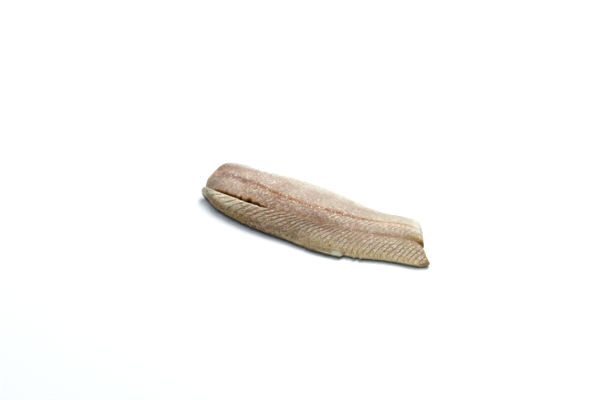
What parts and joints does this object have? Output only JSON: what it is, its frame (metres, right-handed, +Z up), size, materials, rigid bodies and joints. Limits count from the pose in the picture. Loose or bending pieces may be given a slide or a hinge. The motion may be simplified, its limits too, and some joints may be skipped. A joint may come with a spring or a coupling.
{
  "type": "fresh herring fillet",
  "caption": "Fresh herring fillet lying flesh side up: a thick rolled loin and a thin belly flap with a slit between them, chevron muscle ridges and an oblique notched cut.",
  "frame": {"origin": "middle of the fillet's footprint, on the surface it lies on", "axes": "+X along the fillet towards its notched end, +Y towards its back edge, +Z up out of the flesh side"},
  "size_m": [0.1762, 0.0608, 0.0177],
  "materials": {
    "flesh": "moist translucent fish flesh, pinkish beige on the loin and yellowish on the flap"
  },
  "bodies": {
    "root": {"herring_fillet": "flesh"}
  },
  "joints": []
}
